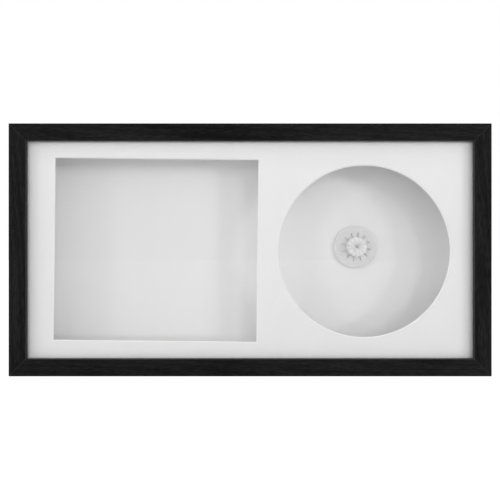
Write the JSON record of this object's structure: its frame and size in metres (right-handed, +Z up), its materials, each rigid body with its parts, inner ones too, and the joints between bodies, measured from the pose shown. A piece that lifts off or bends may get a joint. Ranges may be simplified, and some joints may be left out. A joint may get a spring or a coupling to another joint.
{
  "type": "disc display frame",
  "caption": "Deep black wood box frame with a white window mount: a square-cornered and a round window over one deep well, and a sprung finger hub for a disc.",
  "frame": {"origin": "middle of the foot of the overall box, which includes the bumpers on the back", "axes": "+X to the right as seen from the front, +Z up, and the front faces -Y"},
  "size_m": [0.3316, 0.037, 0.1737],
  "materials": {
    "black_stained_wood": "satin",
    "foam_board": "matte",
    "white_board": "matte",
    "mount_board": "matte",
    "plain_steel": "satin",
    "clear_sheet": "polished",
    "foam_tape": "matte",
    "hub_plastic": "satin",
    "fibreboard": "matte",
    "zinc_steel": "satin",
    "rivet_aluminium": "satin",
    "bumper_rubber": "matte"
  },
  "bodies": {
    "frame": {"top_rail": "black_stained_wood", "bottom_rail": "black_stained_wood", "left_rail": "black_stained_wood", "right_rail": "black_stained_wood", "top_spacer": "foam_board", "bottom_spacer": "foam_board", "left_spacer": "foam_board", "right_spacer": "foam_board", "corner_nails": "plain_steel", "glazing": "clear_sheet", "window_mount": "mount_board", "display_panel": "white_board", "hub_pad": "foam_tape", "disc_hub": "hub_plastic", "backing_board": "fibreboard", "left_hanger_strap": "zinc_steel", "right_hanger_strap": "zinc_steel", "hanger_rivets": "rivet_aluminium", "bumpers": "bumper_rubber", "turn_button_screws": "zinc_steel"},
    "top_left_button": {"turn_button_top_left": "zinc_steel"},
    "top_right_button": {"turn_button_top_right": "zinc_steel"},
    "bottom_left_button": {"turn_button_bottom_left": "zinc_steel"},
    "bottom_right_button": {"turn_button_bottom_right": "zinc_steel"},
    "left_button": {"turn_button_left": "zinc_steel"},
    "right_button": {"turn_button_right": "zinc_steel"},
    "left_ring": {"left_hanging_ring": "zinc_steel"},
    "right_ring": {"right_hanging_ring": "zinc_steel"}
  },
  "joints": [
    {"name": "top_left_button_turn", "type": "hinge", "parent": "frame", "child": "top_left_button", "pos_m": [-0.08292, 0.0153, 0.16978], "axis": [0, 1, 0], "continuous": true},
    {"name": "top_right_button_turn", "type": "hinge", "parent": "frame", "child": "top_right_button", "pos_m": [0.08292, 0.0153, 0.16978], "axis": [0, 1, 0], "continuous": true},
    {"name": "bottom_left_button_turn", "type": "hinge", "parent": "frame", "child": "bottom_left_button", "pos_m": [-0.08292, 0.0153, 0.00392], "axis": [0, 1, 0], "continuous": true},
    {"name": "bottom_right_button_turn", "type": "hinge", "parent": "frame", "child": "bottom_right_button", "pos_m": [0.08292, 0.0153, 0.00392], "axis": [0, 1, 0], "continuous": true},
    {"name": "left_button_turn", "type": "hinge", "parent": "frame", "child": "left_button", "pos_m": [-0.16193, 0.0153, 0.08685], "axis": [0, 1, 0], "continuous": true},
    {"name": "right_button_turn", "type": "hinge", "parent": "frame", "child": "right_button", "pos_m": [0.16193, 0.0153, 0.08685], "axis": [0, 1, 0], "continuous": true},
    {"name": "left_ring_swing", "type": "hinge", "parent": "frame", "child": "left_ring", "pos_m": [-0.10614, 0.01628, 0.12854], "axis": [1, 0, 0], "range_deg": [0, 180]},
    {"name": "right_ring_swing", "type": "hinge", "parent": "frame", "child": "right_ring", "pos_m": [0.10614, 0.01628, 0.12854], "axis": [1, 0, 0], "range_deg": [0, 180]}
  ]
}
